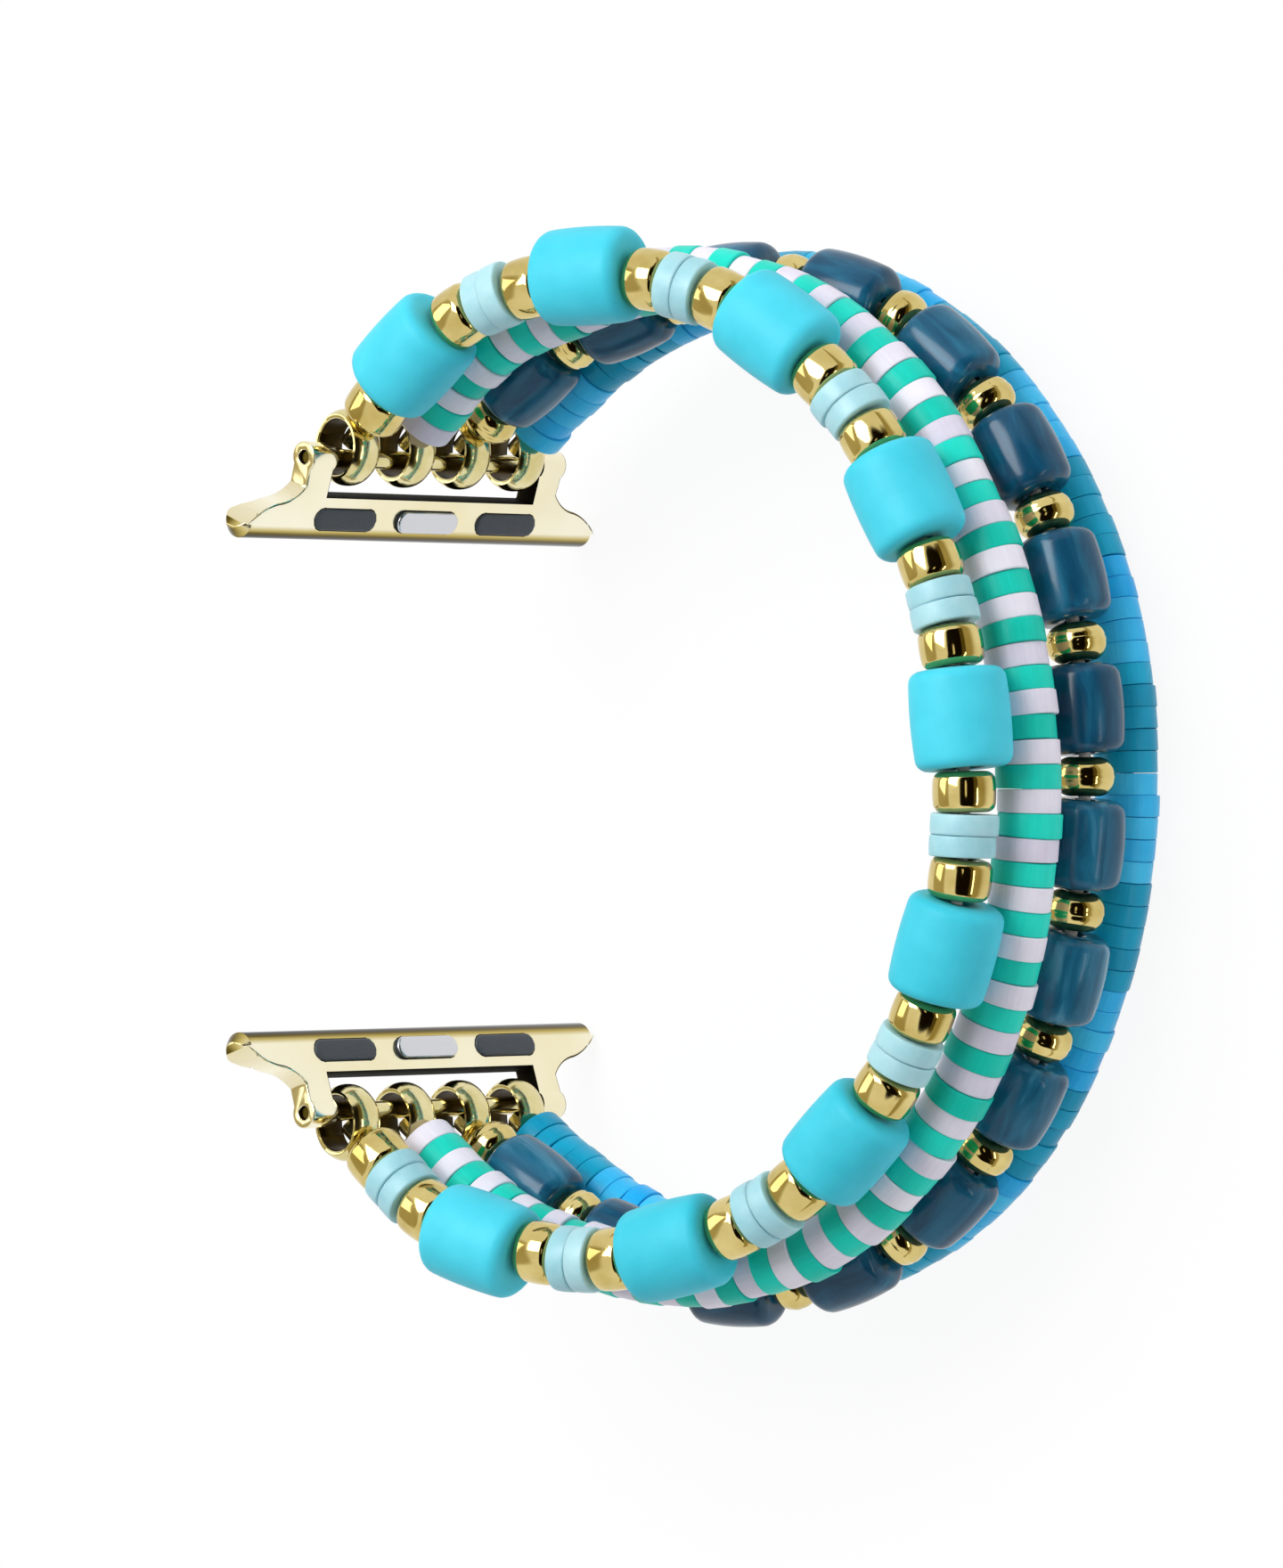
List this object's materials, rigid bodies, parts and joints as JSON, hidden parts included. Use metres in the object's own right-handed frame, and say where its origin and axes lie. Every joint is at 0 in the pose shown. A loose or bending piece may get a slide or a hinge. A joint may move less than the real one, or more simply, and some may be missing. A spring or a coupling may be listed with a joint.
{
  "type": "bead watch band",
  "caption": "Elastic bead watch band with parallel strands of barrel and disc beads on end rings, hung from spring bars in two slide-in watch case adapters.",
  "frame": {"origin": "middle of the band's footprint, on the surface that it lies on", "axes": "+Y from the lower adapter to the upper one, +X from the watch opening to the far side of the loop, +Z along the spring bars"},
  "size_m": [0.0476, 0.063, 0.03],
  "materials": {
    "gold_metal": "polished pale champagne gold plating",
    "gold_beads": "polished pale champagne gold plating",
    "turquoise": "matte dyed stone, satin",
    "pale_aqua": "translucent, satin",
    "white_shell": "satin polymer clay",
    "mint": "satin polymer clay",
    "slate_blue": "polished banded stone",
    "azure": "satin polymer clay",
    "deep_teal": "satin polymer clay",
    "elastic": "clear elastic cord",
    "latch_steel": "satin",
    "spring_steel": "bright",
    "black_rubber": "matte graphite"
  },
  "bodies": {
    "strands": {"azure_disc_stacks": "azure", "deep_blue_disc_stacks": "deep_teal", "lower_crimp_1": "gold_metal", "lower_crimp_2": "gold_metal", "lower_crimp_3": "gold_metal", "lower_crimp_4": "gold_metal", "lower_ring_1": "gold_metal", "lower_ring_2": "gold_metal", "lower_ring_3": "gold_metal", "lower_ring_4": "gold_metal", "mint_discs": "mint", "pale_disc_pairs": "pale_aqua", "slate_barrels": "slate_blue", "strand_1_cord": "elastic", "strand_1_spacers": "gold_beads", "strand_2_cord": "elastic", "strand_3_cord": "elastic", "strand_3_rondelles": "gold_beads", "strand_4_cord": "elastic", "turquoise_barrels": "turquoise", "upper_crimp_1": "gold_metal", "upper_crimp_2": "gold_metal", "upper_crimp_3": "gold_metal", "upper_crimp_4": "gold_metal", "upper_ring_1": "gold_metal", "upper_ring_2": "gold_metal", "upper_ring_3": "gold_metal", "upper_ring_4": "gold_metal", "white_discs": "white_shell"},
    "upper_foot": {"upper_adapter": "gold_metal", "upper_bar_sleeve": "gold_metal", "upper_bar_spring": "spring_steel", "upper_latch_spring": "spring_steel", "upper_pad_1": "black_rubber", "upper_pad_2": "black_rubber"},
    "upper_catch": {"upper_latch": "latch_steel"},
    "upper_pin_1": {"upper_bar_tip_1": "gold_metal"},
    "upper_pin_2": {"upper_bar_tip_2": "gold_metal"},
    "lower_foot": {"lower_adapter": "gold_metal", "lower_bar_sleeve": "gold_metal", "lower_bar_spring": "spring_steel", "lower_latch_spring": "spring_steel", "lower_pad_1": "black_rubber", "lower_pad_2": "black_rubber"},
    "lower_catch": {"lower_latch": "latch_steel"},
    "lower_pin_1": {"lower_bar_tip_1": "gold_metal"},
    "lower_pin_2": {"lower_bar_tip_2": "gold_metal"}
  },
  "joints": [
    {"name": "upper_foot_turn", "type": "hinge", "parent": "strands", "child": "upper_foot", "pos_m": [-0.02115, 0.01857, 0.015], "axis": [0, 0, 1], "range_deg": [-75, 75]},
    {"name": "upper_latch_press", "type": "slide", "parent": "upper_foot", "child": "upper_catch", "axis": [-0.9511, 0.309, 0], "range_m": [0, 0.00035], "stiffness_N_per_m": 150, "deforming": ["upper_latch_spring"]},
    {"name": "upper_tip_1_press", "type": "slide", "parent": "upper_foot", "child": "upper_pin_1", "axis": [0, 0, -1], "range_m": [0, 0.0019], "stiffness_N_per_m": 100, "deforming": ["upper_bar_spring"]},
    {"name": "upper_tip_2_press", "type": "slide", "parent": "upper_foot", "child": "upper_pin_2", "axis": [0, 0, 1], "range_m": [0, 0.0019], "stiffness_N_per_m": 100, "deforming": ["upper_bar_spring"]},
    {"name": "lower_foot_turn", "type": "hinge", "parent": "strands", "child": "lower_foot", "pos_m": [-0.02115, -0.01923, 0.015], "axis": [0, 0, -1], "range_deg": [-75, 75]},
    {"name": "lower_latch_press", "type": "slide", "parent": "lower_foot", "child": "lower_catch", "axis": [-0.9511, -0.309, 0], "range_m": [0, 0.00035], "stiffness_N_per_m": 150, "deforming": ["lower_latch_spring"]},
    {"name": "lower_tip_1_press", "type": "slide", "parent": "lower_foot", "child": "lower_pin_1", "axis": [0, 0, -1], "range_m": [0, 0.0019], "stiffness_N_per_m": 100, "deforming": ["lower_bar_spring"]},
    {"name": "lower_tip_2_press", "type": "slide", "parent": "lower_foot", "child": "lower_pin_2", "axis": [0, 0, 1], "range_m": [0, 0.0019], "stiffness_N_per_m": 100, "deforming": ["lower_bar_spring"]}
  ]
}
